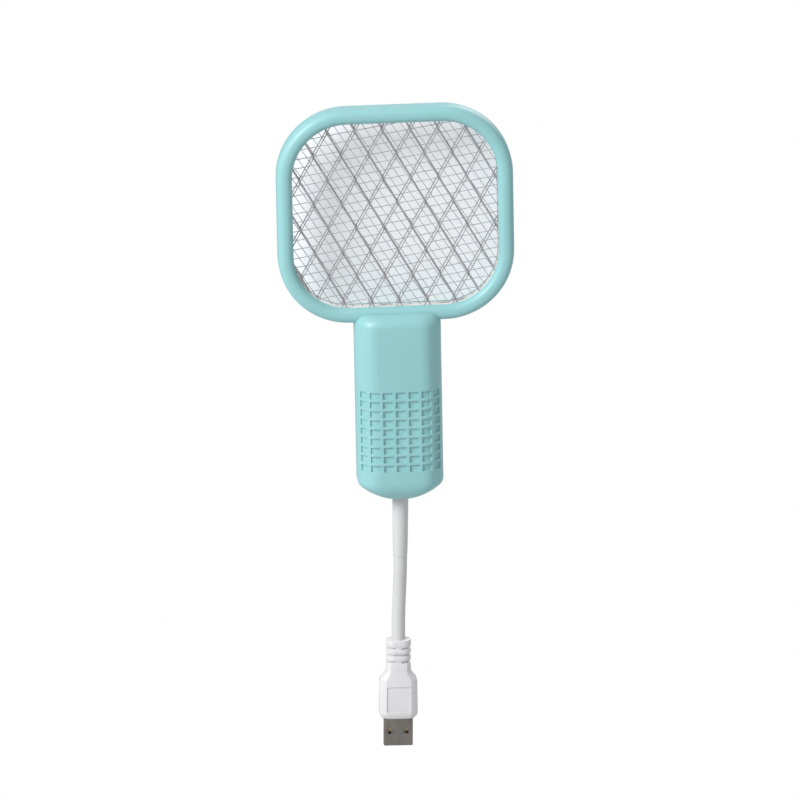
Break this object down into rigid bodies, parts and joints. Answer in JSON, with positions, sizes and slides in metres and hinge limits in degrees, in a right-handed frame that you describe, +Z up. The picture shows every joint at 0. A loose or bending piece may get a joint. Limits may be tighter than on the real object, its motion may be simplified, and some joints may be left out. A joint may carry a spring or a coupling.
{
  "type": "electric fly swatter",
  "caption": "Small electric fly swatter: rounded square head with layered wire grids, ribbed hand grip, rear push button and slide switch, short lead with a USB plug.",
  "frame": {"origin": "middle of the hand grip, on the handle's axis, 33 mm above the bottom of the handle", "axes": "+Z up the handle towards the head, -Y out of the front face, +Y out of the rear face with the controls, +X to the right seen from the front"},
  "size_m": [0.097, 0.0258, 0.2738],
  "materials": {
    "housing": "moulded plastic, soft gloss, pale aqua",
    "grid_wire": "plain steel wire",
    "white_plastic": "moulded, white",
    "board": "glass fibre board with green solder mask",
    "dark_ceramic": "ferrite",
    "winding": "yellow tape over the winding",
    "capacitor": "dipped film capacitor",
    "dark_plastic": "moulded epoxy",
    "resistor": "lacquered",
    "cell_sleeve": "shrink sleeve",
    "nickel": "nickel plated",
    "foam": "closed cell foam",
    "lead_insulation": "PVC insulation",
    "red_lens": "translucent red",
    "screw_steel": "zinc plated",
    "cord_white": "soft PVC, white",
    "plug_white": "moulded PVC, white",
    "plug_steel": "nickel plated sheet, warm grey",
    "contact_gold": "gold flashed"
  },
  "bodies": {
    "swatter": {"front_housing": "housing", "rear_housing": "housing", "front_grid": "grid_wire", "middle_grid": "grid_wire", "rear_grid": "grid_wire", "front_spacer": "white_plastic", "rear_spacer": "white_plastic", "circuit_board": "board", "transformer_core": "dark_ceramic", "transformer_winding": "winding", "high_voltage_capacitor": "capacitor", "switching_transistor": "dark_plastic", "rectifier_diodes": "dark_plastic", "resistors": "resistor", "charger_chip": "dark_plastic", "battery_cell": "cell_sleeve", "battery_tabs": "nickel", "battery_pad": "foam", "battery_leads": "lead_insulation", "high_voltage_lead": "lead_insulation", "outer_grid_leads": "lead_insulation", "supply_wires": "lead_insulation", "tact_switch_body": "dark_plastic", "slide_switch_body": "nickel", "indicator_led": "red_lens", "led_window": "red_lens", "housing_screws": "screw_steel", "board_screws": "screw_steel", "cord_strain_relief": "cord_white", "usb_cord": "cord_white", "plug_overmould": "plug_white", "usb_shell": "plug_steel", "usb_insulator": "white_plastic", "usb_contacts": "contact_gold"},
    "push_button": {"push_button": "white_plastic", "tact_switch_plunger": "white_plastic"},
    "slide_knob": {"slide_knob": "white_plastic", "slide_switch_lever": "dark_plastic"}
  },
  "joints": [
    {"name": "button_press", "type": "slide", "parent": "swatter", "child": "push_button", "axis": [0, -1, 0], "range_m": [0, 0.0006], "stiffness_N_per_m": 1500},
    {"name": "slide_switch", "type": "slide", "parent": "swatter", "child": "slide_knob", "axis": [0, 0, 1], "range_m": [0, 0.002]}
  ]
}
